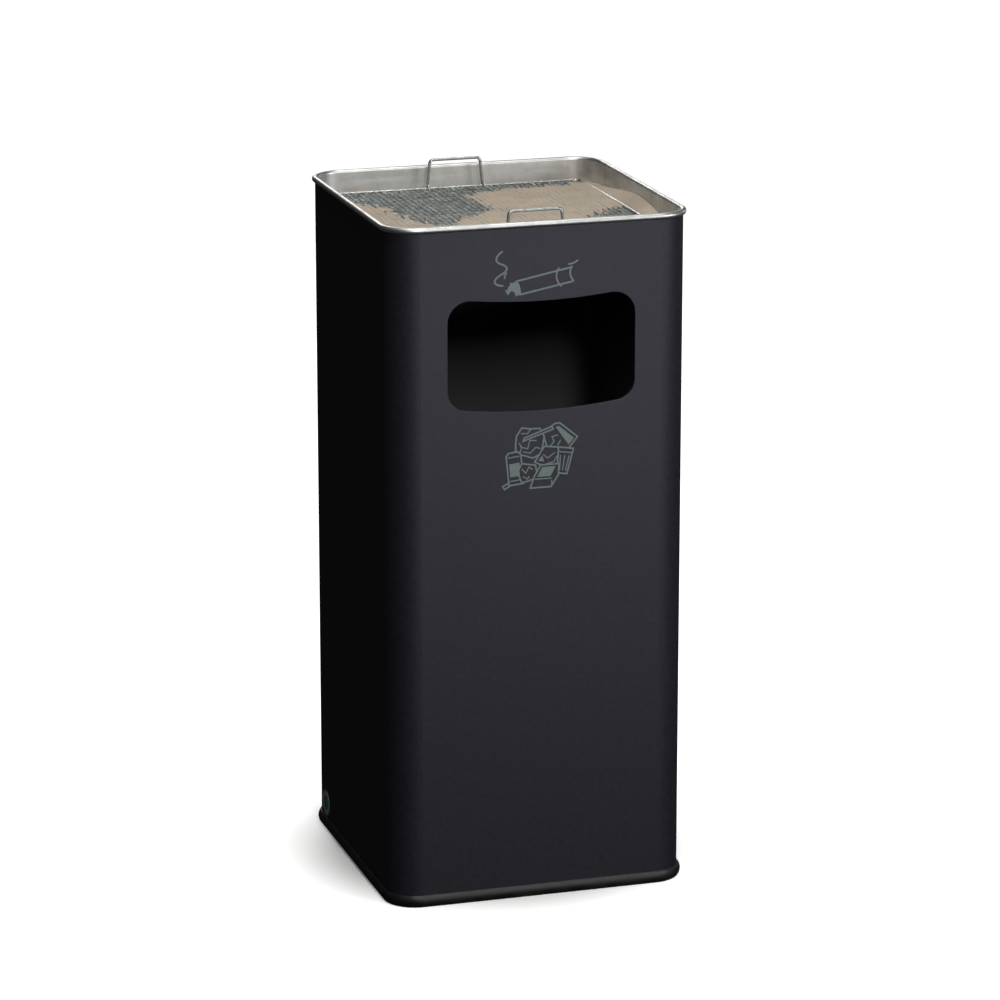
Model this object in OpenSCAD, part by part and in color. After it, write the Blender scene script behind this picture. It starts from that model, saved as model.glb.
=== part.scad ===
// Combined ashtray and litter bin: a square sheet-steel shell with a post opening,
// a lift-out liner, and a lift-off sand tray with a wire sieve.
// Millimetres, +Z up, origin on the floor at the middle of the shell, opening towards -Y.

/* [Shell] */
// Width and depth of the square shell
shell_side = 300; // [290:1:310]
// Height of the shell's top edge above the floor
shell_top = 669.6; // [660:0.2:690]
// Height of the shell's lower edge, inside the base trim
shell_foot = 3; // [2.5:0.5:4]
// Radius of the shell's upright corners
corner_r = 30; // [26:1:34]
// Thickness of the coated steel sheet
shell_sheet = 1.2; // [1:0.1:1.2]
// Height of the floor plate's upper face
floor_top = 15.2; // [14.8:0.1:15.4]

/* [Post opening] */
// Width of the opening
opening_w = 188; // [170:1:194]
// Lowest point of the opening, at mid width
opening_low = 490.5; // [485:0.5:500]
// Upper edge of the opening, at mid width
opening_high = 598.6; // [590:0.2:600]
// Radius of the shallow bow of the upper and lower edges
opening_bow_r = 600; // [550:10:700]
// Radius of the two lower corners
opening_low_r = 20; // [15:1:25]
// Radius of the two upper corners
opening_high_r = 22; // [15:1:25]
// Depth of the edge turned into the shell
opening_lip = 4; // [3:0.5:4]

/* [Base trim] */
// Height of the rubber edging
trim_h = 12; // [11:0.5:13]
// How far the edging stands out from the shell
trim_out = 3.6; // [3:0.1:4]

/* [Ash tray] */
// Thickness of the stainless tray sheet
tray_sheet = 0.8; // [0.7:0.1:0.9]
// Outer radius of the tray's rolled rim
tray_bead_r = 3; // [2.8:0.1:3.2]
// Depth of the tray below the middle of its rim
tray_depth = 58; // [50:1:62]
// Outer radius of the bend between wall and floor
tray_bend_r = 6; // [4:0.5:8]
// Depth of the sand
sand_depth = 34; // [20:1:34]

/* [Sieve] */
// Width of the sieve across its frame wire
sieve_w = 269; // [260:1:272]
// Depth of the sieve across its frame wire
sieve_d = 266; // [260:1:268]
// How far the sieve lies to the left of the middle
sieve_shift = 3.5; // [0:0.5:5]
// Height of the middle of the frame wire
sieve_z = 655; // [655:0.5:657]
// Diameter of the frame wire and of the handle wire
wire_d = 3; // [2.8:0.1:3.2]
// Distance between neighbouring mesh wires
mesh_pitch = 6; // [5:0.5:10]
// Thickness of one mesh wire
mesh_wire = 0.9; // [0.8:0.1:1]

/* [Sieve handles] */
// Width of a handle between the middles of its legs
handle_w = 58; // [50:1:70]
// Height of a handle's bar above the frame wire
handle_h = 28.5; // [24:0.5:32]
// How far the handles lie to the left of the middle
handle_shift = 2; // [0:0.5:4]
// Radius of the bends at the ends of the bar
handle_bend_r = 4; // [3:0.5:6]
// Lean of a handle's legs towards each other, in degrees
handle_lean = 6; // [1:0.5:10]

/* [Liner] */
// Half of the liner's width, to the middle of its rolled rim
liner_half = 141.5; // [138:0.5:142]
// Height of the middle of the liner's rolled rim
liner_top = 400; // [380:1:402]
// Thickness of the galvanised sheet
liner_sheet = 0.8; // [0.7:0.1:0.9]
// Outer radius of the rolled rim
liner_bead_r = 2.5; // [2.3:0.1:2.7]
// Diameter of the carrying bail's wire
bail_d = 4; // [3.6:0.1:4.2]

/* [Markings] */
// Thickness of the printed markings
marking_t = 0.2; // [0.2:0.05:0.4]
// Width of a drawn line
line_w = 1.7; // [1.4:0.1:1.8]
// Height of the middle of the smoking pictogram
smoking_z = 628; // [626:1:630]
// Height of the middle of the waste pictogram
waste_z = 446; // [440:1:450]
// Radius of the round label on the left side
label_r = 13.5; // [10:0.5:14]

/* [Hidden] */
$fn = 96;
fine_w = 1.1;
edge_w = 1.5;
tuck = 0.2;
half = shell_side / 2;
gap = 0.1;
inner_half = half - shell_sheet;
lap_w = 14;
seam_w = 0.8;
seam_deep = 0.4;

tray_bead_z = shell_top + 0.4 + tray_bead_r;
tray_foot = tray_bead_z - tray_depth;
wire_gap = 0.2;
sand_side = half - tray_bead_r - 0.2;

wire_r = wire_d / 2;
frame_corner = 8;
hinge_y = sieve_d / 2 - wire_r;
eye_r = wire_d + 0.05;
eye_turn = 300;
weld_long = 0.6;
weld_out = 0.05;
hem_w = 4;
notch_w = 9;
notch_deep = 5;

liner_foot = floor_top + 0.3;
liner_wall = liner_half - liner_bead_r;
liner_corner = corner_r - half + liner_half;
liner_floor_top = liner_foot + 8;
bail_r = bail_d / 2;
bail_z = liner_top + liner_bead_r + 0.5 + bail_r;
bail_leg_x = liner_wall - 5.5;
bail_bend_r = 18;
ear_t = 1.5;
ear_w = 32;
ear_h = 36;
ear_inner = liner_wall - ear_t;
ear_hole_r = bail_r + 0.08;
ear_hook = 3.5;
rivet_r = 2;
rivet_head_r = 4;
rivet_head_t = 1.2;
rivet_y = 9;
rivet_z = liner_top - 18;

label_y = 106;
label_z = 26;

// ---- shared shapes

// A rectangle with round corners, hx by hy from its middle.
module round_rect(hx, hy, r) {
    square([2 * hx, 2 * (hy - r)], center = true);
    square([2 * (hx - r), 2 * hy], center = true);
    for (sx = [-1, 1], sy = [-1, 1])
        translate([sx * (hx - r), sy * (hy - r)]) circle(r);
}

// A flat slab with round corners.
module slab(h, r, z, t) {
    translate([0, 0, z]) linear_extrude(t) round_rect(h, h, r);
}

// Carries a profile round a rectangle with round corners.
// In the profile, x is the distance outside the rectangle and y is the height.
module around(hx, hy, r) {
    for (sx = [0, 1], sy = [0, 1])
        mirror([sx, 0, 0]) mirror([0, sy, 0])
            translate([hx - r, hy - r, 0])
                rotate_extrude(angle = 90) translate([r, 0]) children();
    for (s = [0, 1]) {
        mirror([s, 0, 0])
            translate([hx, hy - r, 0])
                rotate([90, 0, 0]) linear_extrude(2 * (hy - r)) children();
        mirror([0, s, 0])
            translate([r - hx, hy, 0])
                rotate([90, 0, 90]) linear_extrude(2 * (hx - r)) children();
    }
}

// Profile of a sheet wall whose top edge is rolled outwards.
module rolled_wall(bead_r, sheet, bead_z, wall_foot) {
    translate([0, bead_z]) difference() {
        circle(bead_r);
        circle(bead_r - sheet);
        translate([-bead_r - 1, -bead_r - 1]) square(bead_r + 1);
    }
    translate([-bead_r, wall_foot]) square([sheet, bead_z - wall_foot]);
}

// A floor sheet whose edge is turned down.
module flanged_floor(h, r, top, sheet, flange_foot) {
    slab(h, r, top - sheet, sheet);
    around(h, h, r)
        translate([-sheet, flange_foot]) square([sheet, top - sheet / 2 - flange_foot]);
}

// ---- post opening

// One lower corner left over outside the corner's round, on the right.
module low_corner_waste(grow) {
    w = opening_w / 2 + grow;
    r = opening_low_r + grow;
    bow = opening_bow_r + grow;
    low = opening_low - grow;
    cx = w - r;
    cz = low + bow - sqrt(pow(bow - r, 2) - pow(cx, 2));
    tx = cx * bow / (bow - r);
    difference() {
        polygon([[cx, cz], [w + 1, cz], [w + 1, low - 1], [tx, low - 1]]);
        translate([cx, cz]) circle(r);
    }
}

// One upper corner left over outside the corner's round, on the right.
module high_corner_waste(grow) {
    w = opening_w / 2 + grow;
    r = opening_high_r + grow;
    bow = opening_bow_r - grow;
    high = opening_high + grow;
    cx = w - r;
    cz = high + bow - sqrt(pow(bow + r, 2) - pow(cx, 2));
    tx = cx * bow / (bow + r);
    difference() {
        polygon([[cx, cz], [w + 1, cz], [w + 1, high + 20], [tx, high + 20]]);
        translate([cx, cz]) circle(r);
    }
}

// The opening's outline, with its upper and lower edges bowed downwards.
module opening_outline(grow = 0) {
    w = opening_w / 2 + grow;
    low_bow = opening_bow_r + grow;
    high_bow = opening_bow_r - grow;
    difference() {
        intersection() {
            translate([0, opening_low + opening_bow_r]) circle(low_bow);
            translate([-w, opening_low - 5])
                square([2 * w, opening_high - opening_low + 20]);
        }
        translate([0, opening_high + opening_bow_r]) circle(high_bow);
        for (s = [0, 1]) mirror([s, 0]) {
            low_corner_waste(grow);
            high_corner_waste(grow);
        }
    }
}

// ---- shell

module shell() {
    color("#2b2b2e") {
        difference() {
            slab(half, corner_r, shell_foot, shell_top - shell_foot);
            slab(inner_half, corner_r - shell_sheet, shell_foot - 1, shell_top - shell_foot + 2);
            translate([0, 10 - half, 0])
                rotate([90, 0, 0]) linear_extrude(20) opening_outline(0);
            translate([-seam_w / 2, half - seam_deep, shell_foot - 1])
                cube([seam_w, 1, shell_top]);
        }
        translate([0, opening_lip - half, 0])
            rotate([90, 0, 0]) linear_extrude(opening_lip) difference() {
                opening_outline(shell_sheet);
                opening_outline(0);
            }
        translate([-lap_w / 2, inner_half - shell_sheet, floor_top + 2])
            cube([lap_w, shell_sheet + 0.2, tray_foot - floor_top - 22]);
    }
}

module floor_plate() {
    color("#2b2b2e")
        flanged_floor(inner_half - gap, corner_r - shell_sheet - gap, floor_top, shell_sheet, shell_foot);
}

module base_trim() {
    bulge = 9;
    slot_in = 2 * shell_sheet + 2 * gap;
    leg_in = 3.4;
    color("#1d1d1c") around(half, half, corner_r) {
        difference() {
            intersection() {
                translate([-slot_in - leg_in, 0]) square([slot_in + leg_in + trim_out, trim_h]);
                translate([trim_out - bulge, trim_h / 2]) circle(bulge);
            }
            translate([-slot_in, shell_foot - gap]) square([slot_in + gap, trim_h]);
        }
    }
}

// ---- ash tray

module ash_tray() {
    bend_x = tray_sheet - tray_bead_r - tray_bend_r;
    color("#b9b9b4") {
        around(half, half, corner_r) {
            rolled_wall(tray_bead_r, tray_sheet, tray_bead_z, tray_foot + tray_bend_r);
            translate([bend_x, tray_foot + tray_bend_r]) difference() {
                circle(tray_bend_r);
                circle(tray_bend_r - tray_sheet);
                translate([-tray_bend_r - 1, -tray_bend_r - 1])
                    square([tray_bend_r + 1, 2 * tray_bend_r + 2]);
                translate([-1, 0]) square(tray_bend_r + 2);
            }
            translate([bend_x - 5, tray_foot]) square([5, tray_sheet]);
        }
        slab(half + bend_x - 4, corner_r + bend_x - 4, tray_foot, tray_sheet);
    }
}

module tray_rim_wire() {
    color("#8d8f90") around(half, half, corner_r)
        translate([0, tray_bead_z]) circle(tray_bead_r - tray_sheet - wire_gap);
}

module sand_bed() {
    bend = tray_bend_r - tray_sheet - 0.2;
    foot = tray_foot + tray_sheet + 0.2;
    side_r = corner_r - half + sand_side;
    color("#b3a48f") {
        slab(sand_side, side_r, foot + bend, sand_depth - bend);
        slab(sand_side - bend, side_r - bend, foot, bend);
        around(sand_side - bend, sand_side - bend, side_r - bend)
            translate([0, foot + bend]) intersection() {
                circle(bend);
                translate([0, -bend]) square(bend);
            }
    }
}

// ---- sieve

// Two layers of wires in a folded hem, with notches for the handles' eyes.
module sieve_mesh() {
    mesh_x = sieve_w / 2 - wire_d - gap;
    mesh_y = sieve_d / 2 - wire_d - gap;
    hem_h = 2 * mesh_wire + 0.5;
    nx = floor((mesh_x - hem_w) / mesh_pitch);
    ny = floor((mesh_y - hem_w) / mesh_pitch);
    color("#84888a") difference() {
        union() {
            translate([-sieve_shift, 0, sieve_z - wire_r - 0.1]) linear_extrude(hem_h) difference() {
                round_rect(mesh_x, mesh_y, frame_corner - wire_d - gap);
                round_rect(mesh_x - hem_w, mesh_y - hem_w, frame_corner - wire_d - gap - hem_w);
            }
            for (i = [-ny : ny])
                translate([-sieve_shift - mesh_x + 2, i * mesh_pitch - mesh_wire / 2, sieve_z - wire_r])
                    cube([2 * mesh_x - 4, mesh_wire, mesh_wire]);
            for (i = [-nx : nx])
                translate([
                    i * mesh_pitch - sieve_shift - mesh_wire / 2,
                    2 - mesh_y,
                    sieve_z - wire_r + mesh_wire + 0.1
                ])
                    cube([mesh_wire, 2 * mesh_y - 4, mesh_wire]);
        }
        for (side = [0, 1]) mirror([0, side, 0]) for (s = [-1, 1])
            translate([s * handle_w / 2 - handle_shift - notch_w / 2, hinge_y - notch_deep, sieve_z - 8])
                cube([notch_w, 16, 16]);
    }
}

module sieve_frame() {
    color("#a7a9a8")
        translate([-sieve_shift, 0, sieve_z])
            around(sieve_w / 2, sieve_d / 2, frame_corner) translate([-wire_r, 0]) circle(wire_r);
}

// A wire handle standing at the rear, its two eyes curled round the frame wire.
// Weld that joins two lengths of handle wire end to end.
module wire_weld() {
    cylinder(h = weld_long, r = wire_r + weld_out, center = true);
}

module wire_handle() {
    leg_x = handle_w / 2;
    bend_z = handle_h - handle_bend_r;
    leg_long = (bend_z + handle_bend_r * sin(handle_lean)) / cos(handle_lean);
    bend_x = leg_x - leg_long * sin(handle_lean) - handle_bend_r * cos(handle_lean);
    translate([-handle_shift, hinge_y, sieve_z]) {
        for (s = [0, 1]) mirror([s, 0, 0]) {
            translate([leg_x, 0, 0])
                rotate([90, 0, 90]) rotate([0, 0, -eye_turn])
                    rotate_extrude(angle = eye_turn) translate([eye_r, 0]) circle(wire_r);
            translate([leg_x, eye_r, 0]) {
                wire_weld();
                rotate([0, -handle_lean, 0]) {
                    translate([0, 0, gap]) cylinder(h = leg_long - 2 * gap, r = wire_r);
                    translate([0, 0, leg_long]) wire_weld();
                }
            }
            translate([bend_x, eye_r, bend_z])
                rotate([90, 0, 0]) rotate([0, 0, handle_lean])
                    rotate_extrude(angle = 90 - handle_lean) translate([handle_bend_r, 0]) circle(wire_r);
            translate([bend_x, eye_r, handle_h]) rotate([0, 90, 0]) wire_weld();
        }
        translate([gap - bend_x, eye_r, handle_h])
            rotate([0, 90, 0]) cylinder(h = 2 * (bend_x - gap), r = wire_r);
    }
}

module sieve_handle_rear() {
    color("#a7a9a8") wire_handle();
}

module sieve_handle_front() {
    color("#a7a9a8") mirror([0, 1, 0]) wire_handle();
}

// ---- liner

// The two rivet axes of one ear, as cylinders from the ear's face outwards.
module at_rivets() {
    for (side = [-1, 1])
        translate([0, side * rivet_y, rivet_z]) rotate([0, 90, 0]) children();
}

module liner_body() {
    color("#8f9496") difference() {
        around(liner_half, liner_half, liner_corner)
            rolled_wall(liner_bead_r, liner_sheet, liner_top, liner_foot);
        for (s = [0, 1]) mirror([s, 0, 0])
            at_rivets() translate([0, 0, ear_inner - 1]) cylinder(h = 8, r = rivet_r + 0.05);
    }
}

module liner_floor() {
    h = liner_wall - gap;
    color("#8f9496")
        flanged_floor(h, liner_corner - liner_half + h, liner_floor_top, liner_sheet, liner_foot);
}

module liner_rim_wire() {
    color("#8d8f90") around(liner_half, liner_half, liner_corner)
        translate([0, liner_top]) circle(liner_bead_r - liner_sheet - wire_gap);
}

// A plate riveted inside the right wall, with the bail's hole above the rim.
module ear() {
    ear_foot = bail_z - ear_h;
    difference() {
        translate([ear_inner, 0, 0]) rotate([90, 0, 90]) linear_extrude(ear_t) {
            translate([-ear_w / 2, ear_foot]) square([ear_w, ear_h - 14]);
            polygon([
                [-ear_w / 2, bail_z - 14.5],
                [ear_w / 2, bail_z - 14.5],
                [6.5, bail_z],
                [-6.5, bail_z],
            ]);
            translate([0, bail_z]) circle(7);
        }
        translate([ear_inner - 1, 0, bail_z]) rotate([0, 90, 0]) cylinder(h = 4, r = ear_hole_r);
        at_rivets() translate([0, 0, ear_inner - 1]) cylinder(h = 4, r = rivet_r + 0.05);
    }
}

module liner_ear_right() {
    color("#8f9496") ear();
}

module liner_ear_left() {
    color("#8f9496") mirror([1, 0, 0]) ear();
}

module ear_rivets() {
    grip = ear_t + liner_sheet;
    color("#a5a8a8") for (s = [0, 1]) mirror([s, 0, 0])
        at_rivets() translate([0, 0, ear_inner]) {
            cylinder(h = grip, r = rivet_r);
            translate([0, 0, -rivet_head_t]) cylinder(h = rivet_head_t, r = rivet_head_r);
            translate([0, 0, grip]) cylinder(h = rivet_head_t, r = rivet_head_r);
        }
}

// The bail folded back, its bar lying over the rear rim.
module liner_bail() {
    reach = liner_half;
    pin = ear_inner + ear_t + 3 - bail_leg_x - ear_hook;
    color("#a7a9a8") translate([0, 0, bail_z]) {
        for (s = [0, 1]) mirror([s, 0, 0]) {
            translate([bail_leg_x, ear_hook, 0])
                rotate([-90, 0, 0]) cylinder(h = reach - bail_bend_r - ear_hook, r = bail_r);
            translate([bail_leg_x + ear_hook, ear_hook, 0])
                rotate([0, 0, 180]) rotate_extrude(angle = 90) translate([ear_hook, 0]) circle(bail_r);
            translate([bail_leg_x + ear_hook, 0, 0])
                rotate([0, 90, 0]) cylinder(h = pin, r = bail_r);
            translate([bail_leg_x - bail_bend_r, reach - bail_bend_r, 0])
                rotate_extrude(angle = 90) translate([bail_bend_r, 0]) circle(bail_r);
        }
        translate([bail_bend_r - bail_leg_x, reach, 0])
            rotate([0, 90, 0]) cylinder(h = 2 * (bail_leg_x - bail_bend_r), r = bail_r);
    }
}

// ---- markings

// Point on a cubic curve with end points a, d and handles b, c.
function on_curve(a, b, c, d, t) =
    pow(1 - t, 3) * a + 3 * pow(1 - t, 2) * t * b + 3 * (1 - t) * t * t * c + t * t * t * d;

function curve(a, b, c, d, steps = 8) = [for (i = [0 : steps]) on_curve(a, b, c, d, i / steps)];

// Unit vector to the right of the way from a to b.
function right_of(a, b) = [b.y - a.y, a.x - b.x] / norm(b - a);

// Moves a corner between two edges so that both edges move out by d.
function moved(point, n1, n2, d) = point + d * (n1 + n2) / (1 + n1 * n2);

// A closed outline given anticlockwise, grown by d.
function grown(p, d) = [
    for (i = [0 : len(p) - 1])
        moved(p[i], right_of(p[(i + len(p) - 1) % len(p)], p[i]), right_of(p[i], p[(i + 1) % len(p)]), d)
];

// One side of an open line, d to its right.
function beside(p, d) = [
    for (i = [0 : len(p) - 1])
        moved(
            p[i],
            right_of(p[max(i - 1, 0)], p[max(i, 1)]),
            right_of(p[min(i, len(p) - 2)], p[min(i + 1, len(p) - 1)]),
            d
        )
];

function rest(p) = [for (i = [1 : len(p) - 1]) p[i]];

function reversed(p) = [for (i = [len(p) - 1 : -1 : 0]) p[i]];

// Turns points by an angle and moves them.
function placed(p, angle, at) = [
    for (v = p) at + [v.x * cos(angle) - v.y * sin(angle), v.x * sin(angle) + v.y * cos(angle)]
];

// An uneven round outline with n corners.
function crumpled(n, r, uneven) = [
    for (i = [0 : n - 1]) r * (1 + uneven * sin(i * 137)) * [cos(i * 360 / n), sin(i * 360 / n)]
];

// A line of even width through the points.
module line(p, w = line_w) {
    polygon(concat(beside(p, w / 2), reversed(beside(p, -w / 2))));
}

// A closed line of even width.
module outline(p, w = edge_w) {
    difference() {
        polygon(grown(p, w / 2));
        polygon(grown(p, -w / 2));
    }
}

// A thing in the heap: its outline, with what lies behind it cut clear.
module thing(p) {
    difference() {
        children();
        polygon(grown(p, tuck));
    }
    outline(p);
}

// Stands a flat drawing against the front of the shell.
module on_front(z) {
    translate([0, -half, z]) rotate([90, 0, 0]) linear_extrude(marking_t) children();
}

module smoking_pictogram() {
    smoke_low = curve([-40, -1.6], [-49, -6], [-50.5, -12], [-38.5, -12.9]);
    smoke_mid = curve([-40.5, 8.2], [-33, 5.6], [-33.5, 1.5], [-40, -1.6]);
    smoke_high = curve([-39.2, 20.6], [-47, 15.5], [-47.5, 10.5], [-40.5, 8.2]);
    color("#6e7d7a") on_front(smoking_z) {
        line(concat(smoke_high, rest(smoke_mid), rest(smoke_low)));
        line([[-35, -0.4], [-37.4, -3.4], [-36.8, -6.2]], edge_w);
        // ragged glowing end
        polygon([
            [-26, -9.4], [-23, -11.4], [-21.6, -16], [-20.8, -22], [-23.4, -23.4], [-24, -22.4],
            [-26.2, -24.2], [-27.4, -20], [-30, -18], [-31.6, -19.4], [-34, -22.2], [-36.8, -17.4],
            [-34, -16.6], [-33.4, -13.6], [-31.8, -12.8], [-32, -10.2], [-29.4, -10.6]
        ]);
        // paper tube
        line([[-26.4, -9.4], [29.6, 1.2]]);
        line([[-22, -22.4], [31, -12.6]]);
        line(curve([29.9, 2.4], [26.4, -3], [28, -9], [31.6, -12.4]));
        line(curve([17, 1.4], [12.6, -4], [13.4, -12], [19.6, -17]), edge_w);
        line(curve([25.8, 4.3], [29, 4], [33, 5.4], [35.8, 7.6], 5), edge_w);
    }
}

module waste_pictogram() {
    box = [[1, 23], [7, 3.4], [27.4, 6.2], [36, 16.6], [18, 31.6], [13, 31]];
    paper = placed(crumpled(11, 15.4, 0.13), 20, [-12, 14.2]);
    stick = [[-18.6, 16], [11.4, 25.8], [10.2, 28.6], [-17.6, 18.8]];
    sheet = [[-7, -5.6], [7.4, -12.6], [21, -6], [17.4, 7.6], [2.6, 9.4]];
    cup = placed([[-5, -12.4], [5, -12.4], [7.6, 13], [-7.6, 13]], -9, [22.4, -6.4]);
    can = placed([[-7.4, -16], [7.4, -16], [7.4, 13], [4.6, 16], [-4.6, 16], [-7.4, 13]], 6, [-27, -10.4]);
    stub = placed([[-4, -1.7], [4, -1.7], [4, 1.7], [-4, 1.7]], 30, [-34.6, -27]);
    scrap = placed(crumpled(9, 9.6, 0.15), 0, [-14.4, -15.4]);
    carton = [[-11.4, -31], [9.4, -31], [16.8, -20], [17.4, -8.8], [-0.8, -8.8], [-7.4, -19.6]];
    color("#6e7d7a") on_front(waste_z) {
        thing(carton) {
            thing(scrap) {
                thing(can) {
                    outline(stub);
                    thing(cup) {
                        thing(sheet) {
                            thing(stick) {
                                thing(paper) {
                                    outline(box);
                                    polygon([[14, 27.6], [17.4, 28.4], [32.4, 15.6], [27.2, 9.2]]);
                                    line([[8.4, 8.6], [12.4, 13.6], [10.4, 18.4], [16.4, 19.6]], fine_w);
                                    line([[16, 9.4], [19, 14.4]], fine_w);
                                }
                                line(placed([[-9, 3], [-3, -2], [2, 5], [8, 2]], 20, [-12, 11]), fine_w);
                                line(placed([[-7, 10], [-1, 8.4], [3, 11.6]], 10, [-12, 15]), fine_w);
                                line(placed([[-8, -3], [-2, -7], [5, -4], [9, -7]], 20, [-12, 11]), fine_w);
                                line([[-22.6, 14.6], [-20, 9.6], [-22, 4.6]], fine_w);
                            }
                        }
                        line([[1.4, 1.4], [6, -2.4], [13.4, 2.6]], fine_w);
                        line([[4.6, -8.2], [12.4, -6.4], [15.4, -1]], fine_w);
                        polygon([[-3.6, -4.6], [2.4, -5.6], [0.6, 0.6]]);
                    }
                    line(placed([[-6.6, 8.6], [6.6, 8.6]], -9, [22.4, -6.4]), fine_w);
                    line(placed([[-3, -9.4], [-4.4, 5.6]], -9, [22.4, -6.4]), fine_w);
                    line(placed([[0, -9.4], [0, 5.6]], -9, [22.4, -6.4]), fine_w);
                    line(placed([[3, -9.4], [4.4, 5.6]], -9, [22.4, -6.4]), fine_w);
                }
                line(placed([[-6, 11.4], [6, 11.4]], 6, [-27, -10.4]), fine_w);
                polygon(placed([[-5.2, -8], [5.2, -8], [5.2, 5], [-5.2, 5]], 6, [-27, -10.4]));
                line(placed([[-6, -12], [6, -12]], 6, [-27, -10.4]), fine_w);
            }
            line(placed([[-5.4, 2], [-1.6, -2.6], [1.6, 3.4], [5.4, 0.6]], 0, [-14.4, -13.4]), fine_w);
            line(placed([[-4.4, -2.6], [0.4, -5.4], [2, -2.4]], 0, [-14.4, -16.4]), fine_w);
        }
        // filled lid of the carton, and its near corner
        polygon([[-4.6, -20.4], [9, -20.4], [14.2, -11], [0.6, -11]]);
        line([[-7, -22.6], [10.2, -22.6]], fine_w);
        line([[10.2, -29.4], [10.2, -24.4]], fine_w);
    }
}

module side_label() {
    color("#7f9a86")
        translate([-half, label_y, label_z]) rotate([0, -90, 0]) cylinder(h = marking_t, r = label_r);
}

shell();
floor_plate();
base_trim();
ash_tray();
tray_rim_wire();
sand_bed();
sieve_mesh();
sieve_frame();
sieve_handle_rear();
sieve_handle_front();
liner_body();
liner_floor();
liner_rim_wire();
liner_ear_left();
liner_ear_right();
ear_rivets();
liner_bail();
smoking_pictogram();
waste_pictogram();
side_label();
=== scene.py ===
# Ashtray bin: finishes, sand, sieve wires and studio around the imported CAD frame.
import math
import random

import bmesh
import bpy
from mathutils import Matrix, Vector, noise


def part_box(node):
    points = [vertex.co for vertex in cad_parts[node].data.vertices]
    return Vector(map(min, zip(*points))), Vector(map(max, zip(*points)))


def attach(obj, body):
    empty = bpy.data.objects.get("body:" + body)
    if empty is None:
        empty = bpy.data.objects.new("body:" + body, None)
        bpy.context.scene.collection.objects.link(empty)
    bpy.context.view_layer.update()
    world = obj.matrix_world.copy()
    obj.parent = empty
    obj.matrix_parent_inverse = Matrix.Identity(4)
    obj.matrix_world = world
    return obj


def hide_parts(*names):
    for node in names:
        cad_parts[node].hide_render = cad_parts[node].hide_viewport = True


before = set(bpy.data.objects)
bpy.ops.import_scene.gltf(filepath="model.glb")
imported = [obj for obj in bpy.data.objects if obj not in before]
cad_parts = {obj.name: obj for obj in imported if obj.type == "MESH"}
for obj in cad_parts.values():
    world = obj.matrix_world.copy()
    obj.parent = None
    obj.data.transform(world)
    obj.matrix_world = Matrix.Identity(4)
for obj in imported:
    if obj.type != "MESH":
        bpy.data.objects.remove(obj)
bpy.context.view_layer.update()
mm = 0.001


def hexColour(code):
    parts = [int(code[i:i + 2], 16) / 255 for i in (1, 3, 5)]
    return [c / 12.92 if c <= 0.04045 else ((c + 0.055) / 1.055) ** 2.4 for c in parts] + [1.0]


# adds one node, sets its properties, and links or fills its inputs
def addNode(tree, kind, inputs=None, stops=None, **settings):
    node = tree.nodes.new(kind)
    for key, value in settings.items():
        setattr(node, key, value)
    for name, value in (inputs or {}).items():
        if isinstance(value, bpy.types.NodeSocket):
            tree.links.new(value, node.inputs[name])
        else:
            node.inputs[name].default_value = value
    if stops:
        ramp = node.color_ramp
        while len(ramp.elements) < len(stops):
            ramp.elements.new(1.0)
        for element, (place, colour) in zip(ramp.elements, stops):
            element.position = place
            element.color = hexColour(colour) if isinstance(colour, str) else [colour] * 3 + [1]
    return node


def newMaterial(name):
    material = bpy.data.materials.new(name)
    material.use_nodes = True
    tree = material.node_tree
    tree.nodes.clear()
    shader = addNode(tree, "ShaderNodeBsdfPrincipled")
    addNode(tree, "ShaderNodeOutputMaterial", {"Surface": shader.outputs["BSDF"]})
    coords = addNode(tree, "ShaderNodeTexCoord").outputs["Object"]
    return material, tree, shader, coords


# links or fills the shader's inputs, named with an underscore for each space
def fillShader(tree, shader, **values):
    for name, value in values.items():
        socket = shader.inputs[name.replace("_", " ")]
        if isinstance(value, bpy.types.NodeSocket):
            tree.links.new(value, socket)
        else:
            socket.default_value = value


powderCoat = {
    "grain": 1.1,          # mm, the orange peel of a baked powder coat
    "mottle": 5.0,         # mm, soft cloudiness of the metallic pigment
    "dark": "#1C1B21",
    "light": "#25242B",
    "inside": "#424342",   # lighter grey on the inner faces: painted light for the light that falls in through the opening
    "core": 120.0,         # mm, half side of the square that the rounded corners are drawn round
    "edge": 29.4,          # mm out from that square, between the inner and the outer faces
    "anyHeight": 9.0,      # m, taller than the bin, so that height never counts as distance
    "smooth": 0.40,
    "rough": 0.50,
    "sheen": "#F0EEFF",
}


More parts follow.
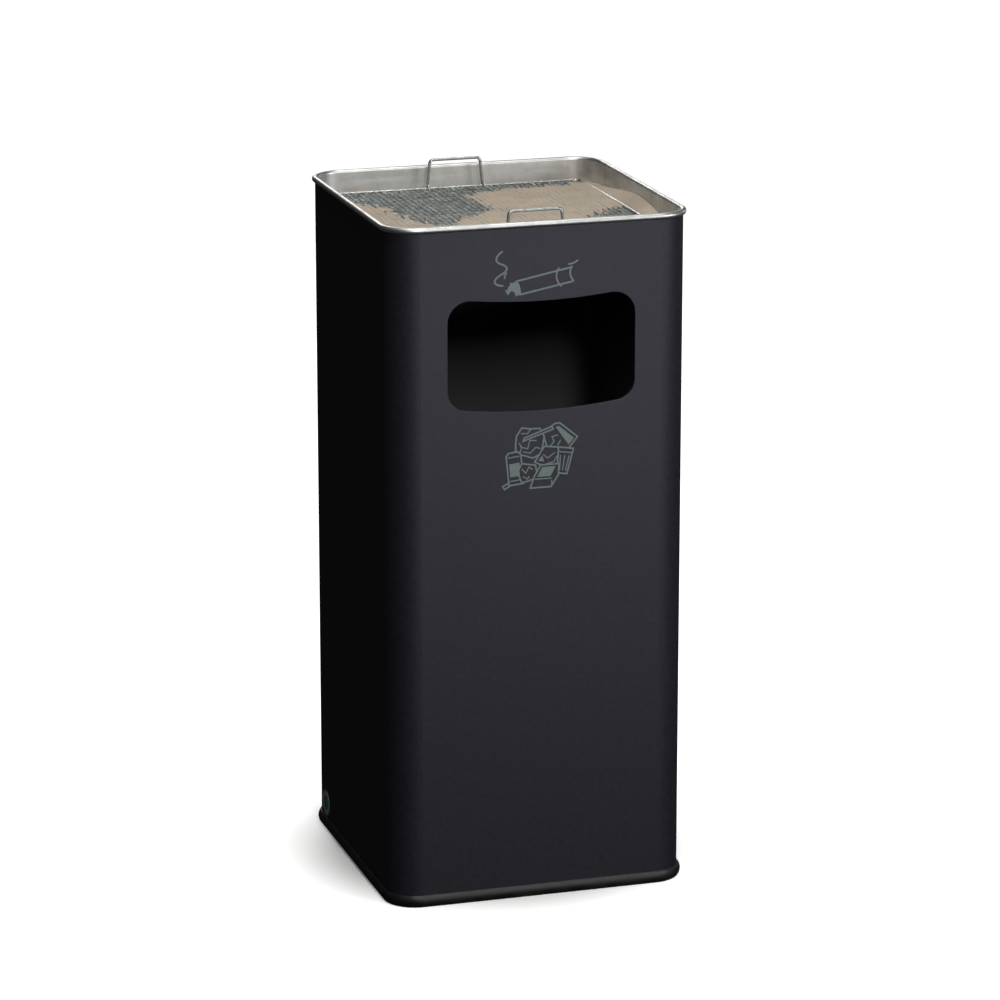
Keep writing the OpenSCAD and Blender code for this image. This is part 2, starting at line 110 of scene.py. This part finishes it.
# polyester powder coat on steel: dark, fine grained, with a broad soft gloss
def makePowderCoat(spec):
    material, tree, shader, coords = newMaterial("powderCoatAnthracite")
    grain = addNode(tree, "ShaderNodeTexNoise",
                    {"Vector": coords, "Scale": 1 / (spec["grain"] * mm), "Detail": 3.0, "Roughness": 0.6})
    mottle = addNode(tree, "ShaderNodeTexNoise",
                     {"Vector": coords, "Scale": 1 / (spec["mottle"] * mm), "Detail": 2.0})
    both = addNode(tree, "ShaderNodeMath", {0: grain.outputs["Fac"], 1: mottle.outputs["Fac"]},
                   operation="ADD")
    half = addNode(tree, "ShaderNodeMath", {0: both.outputs[0], 1: 0.5}, operation="MULTIPLY")
    tone = addNode(tree, "ShaderNodeValToRGB", {"Fac": half.outputs[0]},
                   [(0.36, spec["dark"]), (0.64, spec["light"])])
    core = (spec["core"] * mm, spec["core"] * mm, spec["anyHeight"])
    reach = addNode(tree, "ShaderNodeVectorMath", {0: coords}, operation="ABSOLUTE")
    past = addNode(tree, "ShaderNodeVectorMath", {0: reach.outputs["Vector"], 1: core},
                   operation="SUBTRACT")
    outward = addNode(tree, "ShaderNodeVectorMath", {0: past.outputs["Vector"], 1: (0.0, 0.0, 0.0)},
                      operation="MAXIMUM")
    length = addNode(tree, "ShaderNodeVectorMath", {0: outward.outputs["Vector"]}, operation="LENGTH")
    # the inner faces take the lighter grey, painted light standing in for the light through the opening
    within = addNode(tree, "ShaderNodeMath", {0: length.outputs["Value"], 1: spec["edge"] * mm},
                     operation="LESS_THAN")
    colour = addNode(tree, "ShaderNodeMix",
                     {0: within.outputs[0], 6: tone.outputs["Color"], 7: hexColour(spec["inside"])},
                     data_type="RGBA")
    gloss = addNode(tree, "ShaderNodeValToRGB", {"Fac": grain.outputs["Fac"]},
                    [(0.35, spec["smooth"]), (0.65, spec["rough"])])
    bump = addNode(tree, "ShaderNodeBump",
                   {"Height": grain.outputs["Fac"], "Strength": 0.35, "Distance": 0.08 * mm})
    fillShader(tree, shader, Base_Color=colour.outputs[2], Roughness=gloss.outputs["Color"],
               Normal=bump.outputs["Normal"], IOR=1.5, Specular_IOR_Level=0.5,
               Specular_Tint=hexColour(spec["sheen"]))
    return material


edgingRubber = {
    "grain": 1.4,     # mm, the dull skin left by the die
    "dust": 26.0,     # mm, dusty patches
    "dark": "#0E0E0E",
    "light": "#1B1B1A",
    "smooth": 0.42,
    "rough": 0.6,
}


# extruded EPDM edging: deep black with a dull skin and a little dust
def makeEdgingRubber(spec):
    material, tree, shader, coords = newMaterial("extrudedRubberEdging")
    grain = addNode(tree, "ShaderNodeTexNoise",
                    {"Vector": coords, "Scale": 1 / (spec["grain"] * mm), "Detail": 3.0})
    dust = addNode(tree, "ShaderNodeTexNoise",
                   {"Vector": coords, "Scale": 1 / (spec["dust"] * mm), "Detail": 5.0})
    tone = addNode(tree, "ShaderNodeValToRGB", {"Fac": dust.outputs["Fac"]},
                   [(0.4, spec["dark"]), (0.72, spec["light"])])
    dull = addNode(tree, "ShaderNodeValToRGB", {"Fac": dust.outputs["Fac"]},
                   [(0.35, spec["smooth"]), (0.7, spec["rough"])])
    bump = addNode(tree, "ShaderNodeBump",
                   {"Height": grain.outputs["Fac"], "Strength": 0.3, "Distance": 0.06 * mm})
    fillShader(tree, shader, Base_Color=tone.outputs["Color"], Roughness=dull.outputs["Color"],
               Normal=bump.outputs["Normal"], IOR=1.52)
    return material


stainlessSheet = {
    "smudge": 24.0,         # mm, finger and ash smudges
    "streak": 0.7,          # mm between the fine rolling lines
    "streakLength": 60.0,   # mm
    "clean": "#DCDDDC",
    "soiled": "#C0C0BC",
    "smooth": 0.36,
    "rough": 0.50,
}


# cold-rolled stainless sheet: soft mirror with faint lines along the wall and dull smudges
def makeStainless(spec):
    material, tree, shader, coords = newMaterial("stainlessSheetSatin")
    smudge = addNode(tree, "ShaderNodeTexNoise",
                     {"Vector": coords, "Scale": 1 / (spec["smudge"] * mm), "Detail": 6.0,
                      "Roughness": 0.62})
    along = 1 / (spec["streakLength"] * mm)
    stretch = addNode(tree, "ShaderNodeMapping",
                      {"Vector": coords, "Scale": (along, along, 1 / (spec["streak"] * mm))})
    streak = addNode(tree, "ShaderNodeTexNoise",
                     {"Vector": stretch.outputs["Vector"], "Scale": 1.0, "Detail": 2.0})
    tone = addNode(tree, "ShaderNodeValToRGB", {"Fac": smudge.outputs["Fac"]},
                   [(0.38, spec["clean"]), (0.66, spec["soiled"])])
    mixed = addNode(tree, "ShaderNodeMath", {0: smudge.outputs["Fac"], 1: streak.outputs["Fac"]},
                    operation="MULTIPLY")
    dull = addNode(tree, "ShaderNodeValToRGB", {"Fac": mixed.outputs[0]},
                   [(0.15, spec["smooth"]), (0.42, spec["rough"])])
    bump = addNode(tree, "ShaderNodeBump",
                   {"Height": streak.outputs["Fac"], "Strength": 0.05, "Distance": 0.02 * mm})
    fillShader(tree, shader, Base_Color=tone.outputs["Color"], Roughness=dull.outputs["Color"],
               Normal=bump.outputs["Normal"], Metallic=1.0)
    return material


brightWire = {   # patch in mm
    "patch": 5.0, "light": "#C4C7C6", "dark": "#969B9B", "smooth": 0.24, "rough": 0.42,
}
meshWire = {
    "patch": 7.0, "light": "#ABB4B5", "dark": "#7B8687", "smooth": 0.46, "rough": 0.68,
}


# drawn and zinc-plated steel wire: bright or dulled in small patches
def makeWire(name, spec):
    material, tree, shader, coords = newMaterial(name)
    patch = addNode(tree, "ShaderNodeTexNoise",
                    {"Vector": coords, "Scale": 1 / (spec["patch"] * mm), "Detail": 5.0, "Roughness": 0.65})
    tone = addNode(tree, "ShaderNodeValToRGB", {"Fac": patch.outputs["Fac"]},
                   [(0.38, spec["light"]), (0.62, spec["dark"])])
    dull = addNode(tree, "ShaderNodeValToRGB", {"Fac": patch.outputs["Fac"]},
                   [(0.35, spec["smooth"]), (0.65, spec["rough"])])
    bump = addNode(tree, "ShaderNodeBump",
                   {"Height": patch.outputs["Fac"], "Strength": 0.15, "Distance": 0.1 * mm})
    fillShader(tree, shader, Base_Color=tone.outputs["Color"], Roughness=dull.outputs["Color"],
               Normal=bump.outputs["Normal"], Metallic=1.0)
    return material


galvanisedSheet = {
    "spangle": 6.0,   # mm across one zinc crystal
    "light": "#A0A5A6",
    "dark": "#8E9495",
    "smooth": 0.42,
    "rough": 0.5,
}


# hot-dip galvanised sheet: flat zinc spangles, each with its own grey
def makeGalvanised(spec):
    material, tree, shader, coords = newMaterial("galvanisedSheet")
    scale = 1 / (spec["spangle"] * mm)
    spangle = addNode(tree, "ShaderNodeTexVoronoi", {"Vector": coords, "Scale": scale})
    edge = addNode(tree, "ShaderNodeTexVoronoi", {"Vector": coords, "Scale": scale},
                   feature="DISTANCE_TO_EDGE")
    grey = addNode(tree, "ShaderNodeRGBToBW", {"Color": spangle.outputs["Color"]})
    tone = addNode(tree, "ShaderNodeValToRGB", {"Fac": grey.outputs["Val"]},
                   [(0.2, spec["dark"]), (0.8, spec["light"])])
    dull = addNode(tree, "ShaderNodeValToRGB", {"Fac": grey.outputs["Val"]},
                   [(0.2, spec["smooth"]), (0.8, spec["rough"])])
    bump = addNode(tree, "ShaderNodeBump",
                   {"Height": edge.outputs["Distance"], "Strength": 0.1, "Distance": 0.1 * mm})
    fillShader(tree, shader, Base_Color=tone.outputs["Color"], Roughness=dull.outputs["Color"],
               Normal=bump.outputs["Normal"], Metallic=1.0)
    return material


silicaSand = {
    "grain": 1.0,          # mm; real grains are about 0.4 and would not show
    "drift": 30.0,         # mm, paler and darker drifts
    "ash": 2.4,            # mm between specks of ash
    "stops": [(0.26, "#968977"), (0.45, "#C1B29F"), (0.62, "#D3C3AF"), (0.8, "#E5D8C6")],
    "drifts": [(0.3, 0.82), (0.7, 1.0)],
    "specks": [(0.1, 0.62), (0.2, 1.0)],
}


# dry silica sand: mixed beige grains, quite matt, with a few dark specks of ash
def makeSilicaSand(spec):
    material, tree, shader, coords = newMaterial("silicaSand")
    grain = addNode(tree, "ShaderNodeTexNoise",
                    {"Vector": coords, "Scale": 1 / (spec["grain"] * mm), "Detail": 4.0, "Roughness": 0.75})
    drift = addNode(tree, "ShaderNodeTexNoise",
                    {"Vector": coords, "Scale": 1 / (spec["drift"] * mm), "Detail": 4.0})
    ash = addNode(tree, "ShaderNodeTexVoronoi", {"Vector": coords, "Scale": 1 / (spec["ash"] * mm)})
    tone = addNode(tree, "ShaderNodeValToRGB", {"Fac": grain.outputs["Fac"]}, spec["stops"])
    shade = addNode(tree, "ShaderNodeValToRGB", {"Fac": drift.outputs["Fac"]}, spec["drifts"])
    speck = addNode(tree, "ShaderNodeValToRGB", {"Fac": ash.outputs["Distance"]}, spec["specks"])
    shaded = addNode(tree, "ShaderNodeMix", {0: 1.0, 6: tone.outputs["Color"], 7: shade.outputs["Color"]},
                     data_type="RGBA", blend_type="MULTIPLY")
    specked = addNode(tree, "ShaderNodeMix", {0: 1.0, 6: shaded.outputs[2], 7: speck.outputs["Color"]},
                      data_type="RGBA", blend_type="MULTIPLY")
    bump = addNode(tree, "ShaderNodeBump",
                   {"Height": grain.outputs["Fac"], "Strength": 0.7, "Distance": 0.5 * mm})
    fillShader(tree, shader, Base_Color=specked.outputs[2], Normal=bump.outputs["Normal"],
               Roughness=0.95, Specular_IOR_Level=0.2)
    return material


screenInk = {
    "grain": 0.8,     # mm, thin spots left by the screen
    "dark": "#5E6B69",
    "light": "#74827F",
}


# screen-printed ink: even grey-green, matt, a little thin in places
def makeInk(spec):
    material, tree, shader, coords = newMaterial("screenPrintInk")
    grain = addNode(tree, "ShaderNodeTexNoise",
                    {"Vector": coords, "Scale": 1 / (spec["grain"] * mm), "Detail": 3.0})
    tone = addNode(tree, "ShaderNodeValToRGB", {"Fac": grain.outputs["Fac"]},
                   [(0.3, spec["dark"]), (0.6, spec["light"])])
    bump = addNode(tree, "ShaderNodeBump",
                   {"Height": grain.outputs["Fac"], "Strength": 0.2, "Distance": 0.03 * mm})
    fillShader(tree, shader, Base_Color=tone.outputs["Color"], Normal=bump.outputs["Normal"],
               Roughness=0.6)
    return material


foilLabel = {
    "crease": 3.0,    # mm
    "rings": [        # colours from the middle (0) to the rim (1)
        (0.0, "#46B87C"), (0.56, "#46B87C"), (0.6, "#F2F6F3"), (0.84, "#F2F6F3"), (0.88, "#B8C4BC"),
    ],
}


# printed foil sticker: green centre in a pale ring, slightly creased
def makeLabel(spec):
    low, high = (Vector(corner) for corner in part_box("side_label"))
    centre = (low + high) / 2
    radius = (high.z - low.z) / 2
    material, tree, shader, coords = newMaterial("printedFoilLabel")
    away = addNode(tree, "ShaderNodeVectorMath", {0: coords, 1: centre}, operation="DISTANCE")
    part = addNode(tree, "ShaderNodeMath", {0: away.outputs["Value"], 1: radius}, operation="DIVIDE")
    tone = addNode(tree, "ShaderNodeValToRGB", {"Fac": part.outputs[0]}, spec["rings"])
    crease = addNode(tree, "ShaderNodeTexNoise", {"Vector": coords, "Scale": 1 / (spec["crease"] * mm)})
    bump = addNode(tree, "ShaderNodeBump",
                   {"Height": crease.outputs["Fac"], "Strength": 0.2, "Distance": 0.1 * mm})
    fillShader(tree, shader, Base_Color=tone.outputs["Color"], Normal=bump.outputs["Normal"],
               Roughness=0.35, Metallic=0.2)
    return material


coat = makePowderCoat(powderCoat)
rubber = makeEdgingRubber(edgingRubber)
stainless = makeStainless(stainlessSheet)
wire = makeWire("zincPlatedWire", brightWire)
dullWire = makeWire("dulledMeshWire", meshWire)
zinc = makeGalvanised(galvanisedSheet)
sand = makeSilicaSand(silicaSand)
ink = makeInk(screenInk)
label = makeLabel(foilLabel)
print("finishes made")

finishes = {
    "shell": coat, "floor_plate": coat, "base_trim": rubber,
    "ash_tray": stainless, "tray_rim_wire": wire,
    "sieve_frame": wire, "sieve_handle_rear": wire, "sieve_handle_front": wire,
    "liner_body": zinc, "liner_floor": zinc, "liner_rim_wire": wire,
    "liner_ear_left": zinc, "liner_ear_right": zinc, "ear_rivets": wire, "liner_bail": wire,
    "smoking_pictogram": ink, "waste_pictogram": ink, "side_label": label,
}
for nodeName, material in finishes.items():
    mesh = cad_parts[nodeName].data
    mesh.materials.clear()
    mesh.materials.append(material)
print("CAD nodes finished")


# makes an object at the origin from a bmesh
def addPiece(name, bm, material, body):
    mesh = bpy.data.meshes.new(name)
    bm.to_mesh(mesh)
    bm.free()
    for face in mesh.polygons:
        face.use_smooth = True
    mesh.materials.append(material)
    piece = bpy.data.objects.new(name, mesh)
    bpy.context.collection.objects.link(piece)
    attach(piece, body)
    return piece


sieveSpec = {
    "pitch": 6.0 * mm,
    "wireRadius": 0.5 * mm,
    "inset": 1.5 * mm,     # from the frame's outside to a wire's end, so that it ends in the frame wire
    "lowerRow": 2.9,       # wire radii from the top down to the axes of the lower row
    "sides": 6,
    "cuts": 44,
    "wander": 0.35 * mm,   # how far a wire strays sideways
    "wanderRate": 30,      # bends in a metre of wire
    "sag": 0.45 * mm,      # how far it strays up and down
    "sagRate": 45,
}


# crossed wires welded into a sheet, ending on the frame wire
def makeSieve(spec):
    low, high = (Vector(corner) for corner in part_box("sieve_frame"))
    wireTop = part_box("sieve_mesh")[1][2]
    inset = spec["inset"]
    middle = (low + high) / 2
    bm = bmesh.new()
    random.seed(11)
    for across in (0, 1):
        along = 1 - across
        length = high[along] - low[along] - 2 * inset
        room = (high[across] - low[across]) / 2 - inset - spec["pitch"] / 2
        count = int(room / spec["pitch"])
        height = wireTop - spec["wireRadius"] * (1 if across == 0 else spec["lowerRow"])
        for number in range(-count, count + 1):
            known = len(bm.verts)
            made = bmesh.ops.create_cone(bm, cap_ends=True, segments=spec["sides"], depth=length,
                                         radius1=spec["wireRadius"], radius2=spec["wireRadius"])
            sides = [e for e in {e for v in made["verts"] for e in v.link_edges}
                     if e.calc_length() > length / 2]
            bmesh.ops.subdivide_edges(bm, edges=sides, cuts=spec["cuts"])
            bm.verts.ensure_lookup_table()
            shift = random.random() * 50   # its own stretch of the noise
            for vert in bm.verts[known:]:
                place = vert.co.z
                bend = noise.noise(Vector((place * spec["wanderRate"], shift, across)))
                rise = noise.noise(Vector((place * spec["sagRate"], shift + 9, across)))
                x = vert.co.x + number * spec["pitch"] + bend * spec["wander"]
                side = [0.0, 0.0]
                side[across] = middle[across] + x
                side[along] = middle[along] + place
                vert.co = Vector((side[0], side[1], height + vert.co.y + rise * spec["sag"]))
    bmesh.ops.recalc_face_normals(bm, faces=bm.faces)
    piece = addPiece("sieve_wires", bm, dullWire, "sieve")
    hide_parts("sieve_mesh")


makeSieve(sieveSpec)
print("sieve woven")


sandSpec = {   # levels and lengths in mm, but where mm is written out
    "cells": 220,
    "corner": 26.8 * mm,
    "bottom": 8 * mm,      # above the lowest point of the sand bed's box
    "cover": 655.4,        # level where the sand just hides the wires
    "bare": 651.8,         # level where the wires lie open
    "slope": 16.0,         # width over which the sand thins out
    "lead": 0.4,           # share of that fall already made at a patch's outline
    "patches": [           # outlines of where the sand has sunk
        [(-131, 131), (-128, 115), (-112, 70), (-95, 54), (-95, 14), (-82, -25), (-68, -57), (-46, -23),
         (1, 14), (-4, 56), (-9, 91), (44, 112), (75, 112), (106, 114), (128, 131)],
        [(74, -58), (104, -22), (131, -2), (131, -66)],
    ],
    "ragged": [            # size along X and Y, seed, and how far the outline strays
        (4, 13, 3.0, 13),
        (2.5, 7, 7.0, 7),
    ],
    "drape": 0.3,          # how far the sand heaps up along each buried wire
    "outside": {"left": 655.6, "rear": 651.5, "front": 655.4, "right": 654.0},   # beyond the sieve
    "heap": (648.8, 14.6, 92.0),   # lowest level, height and half length of the heap on the right
    "heapTop": 147,        # X where the heap has its whole height
    "heapBulge": 0.8,
    "ripple": 0.16,
    "ripples": [           # size, seed and weight
        (16, 1.0, 1.2),
        (4, 5.0, 0.5),
    ],
}


# distance in mm from a place to the edge of an outline, positive inside it
def depthInside(x, y, outline):
    inside = False
    nearest = math.inf
    for (ax, ay), (bx, by) in zip(outline, outline[1:] + outline[:1]):
        if (ay > y) != (by > y) and x < ax + (y - ay) * (bx - ax) / (by - ay):
            inside = not inside
        along = ((x - ax) * (bx - ax) + (y - ay) * (by - ay)) / ((bx - ax) ** 2 + (by - ay) ** 2)
        along = min(max(along, 0.0), 1.0)
        nearest = min(nearest, math.hypot(x - ax - along * (bx - ax), y - ay - along * (by - ay)))
    return nearest if inside else -nearest


# the sand's level in mm at a place given in mm
def sandHeight(x, y, spec, frameLow, frameHigh):
    depth = max(depthInside(x, y, outline) for outline in spec["patches"])
    ragged = sum(noise.noise(Vector((x / wide, y / long, seed))) * stray
                 for wide, long, seed, stray in spec["ragged"])
    share = min(max((depth + ragged) / spec["slope"] + spec["lead"], 0.0), 1.0)
    share = share * share * (3 - 2 * share)
    middle = (frameLow[0] + frameHigh[0]) / 2
    drape = spec["drape"] * math.cos(2 * math.pi * (x - middle) * mm / sieveSpec["pitch"])
    level = spec["cover"] + drape + (spec["bare"] - spec["cover"]) * share
    outside = spec["outside"]
    if x > frameHigh[0]:
        lowest, rise, spread = spec["heap"]
        heap = lowest + rise * math.exp(-(y / spread) ** 2)
        part = min((x - frameHigh[0]) / (spec["heapTop"] - frameHigh[0]), 1.0)
        level = outside["right"] + (heap - outside["right"]) * part ** spec["heapBulge"]
    elif x < frameLow[0]:
        level = outside["left"]
    elif y > frameHigh[1]:
        level = outside["rear"]
    elif y < frameLow[1]:
        level = outside["front"]
    rippled = sum(weight * noise.noise(Vector((x / size, y / size, seed)))
                  for size, seed, weight in spec["ripples"])
    return level + spec["ripple"] * rippled


# the sand as one closed body: an uneven top, straight sides and a flat bottom
def makeSand(spec):
    low, high = (Vector(corner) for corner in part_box("sand_bed"))
    frameLow, frameHigh = ([c / mm for c in corner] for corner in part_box("sieve_frame"))
    half = high.x
    inner = half - spec["corner"]
    bm = bmesh.new()
    bmesh.ops.create_grid(bm, x_segments=spec["cells"], y_segments=spec["cells"], size=half)
    for vert in bm.verts:
        x, y = vert.co.x, vert.co.y
        dx, dy = abs(x) - inner, abs(y) - inner
        if dx > 0 and dy > 0:   # the grid's corners are drawn in to round ones
            pull = max(dx, dy) / math.hypot(dx, dy)
            x = math.copysign(inner + dx * pull, x)
            y = math.copysign(inner + dy * pull, y)
        vert.co = (x, y, sandHeight(x / mm, y / mm, spec, frameLow, frameHigh) * mm)
    rim = [e for e in bm.edges if e.is_boundary]
    skirt = bmesh.ops.extrude_edge_only(bm, edges=rim)["geom"]
    for vert in (g for g in skirt if isinstance(g, bmesh.types.BMVert)):
        vert.co.z = low.z + spec["bottom"]
    bmesh.ops.holes_fill(bm, edges=[e for e in bm.edges if e.is_boundary], sides=0)
    bmesh.ops.recalc_face_normals(bm, faces=bm.faces)
    piece = addPiece("sand_surface", bm, sand, "tray")
    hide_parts("sand_bed")


makeSand(sandSpec)
print("sand spread")


rimSpec = {
    "radius": 0.62 * mm,
    "steps": 4,
    "touch": 0.01 * mm,      # points closer than this are one
    "levels": (0.4, 0.65),   # m, the heights between which the post opening lies
    "reach": 0.11,           # m, the opening's half width with room to spare
    "across": 0.2,           # most a face of the cut edge looks forward
    "ahead": 0.9,            # least a face of the front does
}


# the rounded cut edge of the post opening, followed along the shell's own outline
def makeOpeningRim(spec):
    bm = bmesh.new()
    bm.from_mesh(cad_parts["shell"].data)
    bmesh.ops.remove_doubles(bm, verts=bm.verts, dist=spec["touch"])
    front = min(v.co.y for v in bm.verts)
    lowest, highest = spec["levels"]
    near = {}
    for edge in bm.edges:
        onFront = all(abs(v.co.y - front) < spec["touch"] for v in edge.verts)
        if onFront and len(edge.link_faces) == 2:
            facing = sorted(abs(f.normal.y) for f in edge.link_faces)
            inside = all(lowest < v.co.z < highest and abs(v.co.x) < spec["reach"] for v in edge.verts)
            if facing[0] < spec["across"] and facing[1] > spec["ahead"] and inside:
                a, b = edge.verts
                near.setdefault(a, []).append(b)
                near.setdefault(b, []).append(a)
    start = next(iter(near))
    path, last, here = [start.co.copy()], None, start
    while True:
        onward = next((v for v in near[here] if v is not last), None)
        if onward is None or onward is start:
            break
        path.append(onward.co.copy())
        last, here = here, onward
    bm.free()
    curve = bpy.data.curves.new("openingRimPath", "CURVE")
    curve.dimensions = "3D"
    curve.bevel_depth = spec["radius"]
    curve.bevel_resolution = spec["steps"]
    spline = curve.splines.new("POLY")
    spline.points.add(len(path) - 1)
    for point, place in zip(spline.points, path):
        point.co = (place.x, place.y + spec["radius"], place.z, 1)
    spline.use_cyclic_u = True
    holder = bpy.data.objects.new("openingRimPath", curve)
    mesh = bpy.data.meshes.new_from_object(holder)
    bpy.data.objects.remove(holder)
    bm = bmesh.new()
    bm.from_mesh(mesh)
    addPiece("opening_rim", bm, coat, "bin_shell")


makeOpeningRim(rimSpec)
print("opening rim rolled")


floorSpec = {
    "half": 16.0,      # m
    "colour": "#F4F4F2",
    "near": 0.16,      # m from the bin's middle, where the painted shadow on the floor is darkest
    "far": 0.25,       # m, where it meets the backdrop's white
    "glowWithPaintedShadow": [(0.0, 0.15), (1.0, 1.0)],
}


# pale floor that only the camera and the shadows see, so it throws no light back; its glow dims towards the
# bin, a painted shadow that lets the lamps' real contact shadow show
def makeFloor(spec):
    bm = bmesh.new()
    bmesh.ops.create_grid(bm, x_segments=1, y_segments=1, size=spec["half"])
    mesh = bpy.data.meshes.new("studioFloor")
    bm.to_mesh(mesh)
    bm.free()
    material, tree, shader, coords = newMaterial("paleFloorWithPaintedShadow")
    # the glow fades towards the bin: a painted shadow round its foot, over the lamps' real one
    away = addNode(tree, "ShaderNodeVectorMath", {0: coords}, operation="LENGTH")
    part = addNode(tree, "ShaderNodeMapRange",
                   {"Value": away.outputs["Value"], "From Min": spec["near"], "From Max": spec["far"]})
    glowWithPaintedShadow = addNode(tree, "ShaderNodeValToRGB", {"Fac": part.outputs["Result"]}, spec["glowWithPaintedShadow"])
    fillShader(tree, shader, Base_Color=hexColour(spec["colour"]), Roughness=0.9,
               Specular_IOR_Level=0.0, Emission_Color=(1, 1, 1, 1),
               Emission_Strength=glowWithPaintedShadow.outputs["Color"])
    material.cycles.emission_sampling = "NONE"
    mesh.materials.append(material)
    floor = bpy.data.objects.new("studioFloor", mesh)
    bpy.context.collection.objects.link(floor)
    floor.visible_diffuse = False
    floor.visible_glossy = False


# a place given by its turn and lift in degrees round a point on the bin's axis
def around(turn, lift, distance, height):
    a, b = math.radians(turn), math.radians(lift)
    way = Vector((math.sin(a) * math.cos(b), -math.cos(a) * math.cos(b), math.sin(b)))
    return way * distance + Vector((0, 0, height))


lights = {   # turn, lift, distance in m, width and height in m, watts, height in m that it aims at
    "frontSoftbox": (17, 0, 1.9, (0.9, 0.3), 3.8, 0.2),        # low, for the sheen of the front
    "keySoftbox": (6, 40, 2.8, (0.9, 1.1), 4, 0.42),
    "insideSoftbox": (-4, 28, 2.2, (0.2, 0.5), 15, 0.42),      # reaches in through the opening
    "traySoftbox": (42, 8, 2.2, (0.8, 0.6), 14, 0.75),         # for the tray's rear wall
    "overheadSoftbox": (10, 80, 2.3, (1.2, 1.2), 27, 0.6),
    "rearSoftbox": (172, 26, 2.8, (1.2, 1.0), 12, 0.4),
    "rightStrip": (115, 16, 2.4, (0.5, 1.2), 3, 0.4),
}


def makeLights(specs):
    for name, (turn, lift, distance, size, watts, height) in specs.items():
        lamp = bpy.data.lights.new(name, "AREA")
        lamp.shape = "RECTANGLE"
        lamp.size, lamp.size_y = size
        lamp.energy = watts
        holder = bpy.data.objects.new(name, lamp)
        bpy.context.collection.objects.link(holder)
        holder.location = around(turn, lift, distance, height)
        away = holder.location - Vector((0, 0, height))
        holder.rotation_euler = away.to_track_quat("Z", "Y").to_euler()


ambient = {
    "sky": 0.04,
    "ground": 0.02,
    "horizon": (-0.05, 0.25),   # upward parts of a direction between which ground turns to sky
    "backdrop": 1.0,
}


# dim sky for soft fill, dark below the floor line, and a pale backdrop for the eye
def makeWorld(spec):
    world = bpy.data.worlds.new("studioAir")
    bpy.context.scene.world = world
    world.use_nodes = True
    tree = world.node_tree
    tree.nodes.clear()
    coords = addNode(tree, "ShaderNodeTexCoord")
    up = addNode(tree, "ShaderNodeSeparateXYZ", {0: coords.outputs["Generated"]})
    below, above = spec["horizon"]
    fill = addNode(tree, "ShaderNodeMapRange",
                   {"Value": up.outputs["Z"], "From Min": below, "From Max": above,
                    "To Min": spec["ground"], "To Max": spec["sky"]})
    path = addNode(tree, "ShaderNodeLightPath")
    strength = addNode(tree, "ShaderNodeMix",
                       {0: path.outputs["Is Camera Ray"], 2: fill.outputs["Result"], 3: spec["backdrop"]})
    air = addNode(tree, "ShaderNodeBackground", {"Strength": strength.outputs[0]})
    addNode(tree, "ShaderNodeOutputWorld", {"Surface": air.outputs["Background"]})


cameraSpec = {
    "turn": -16.97,       # degrees round the bin
    "lift": 15.47,
    "distance": 4.4263,   # m
    "height": 0.340,      # m
    "aimTurn": -17.024,   # degrees, where it looks
    "aimDown": 15.178,
    "lens": 160.05,       # mm
    "sensor": 36.0,       # mm
    "clip": 60.0,         # m
}


def makeCamera(spec):
    data = bpy.data.cameras.new("viewCamera")
    data.lens = spec["lens"]
    data.sensor_width = spec["sensor"]
    data.clip_end = spec["clip"]
    camera = bpy.data.objects.new("viewCamera", data)
    bpy.context.collection.objects.link(camera)
    camera.location = around(spec["turn"], spec["lift"], spec["distance"], spec["height"])
    camera.rotation_euler = (math.radians(90 - spec["aimDown"]), 0, math.radians(spec["aimTurn"]))
    bpy.context.scene.camera = camera


makeFloor(floorSpec)
makeLights(lights)
makeWorld(ambient)
makeCamera(cameraSpec)
bpy.context.scene.view_settings.view_transform = "Standard"
print("studio set")
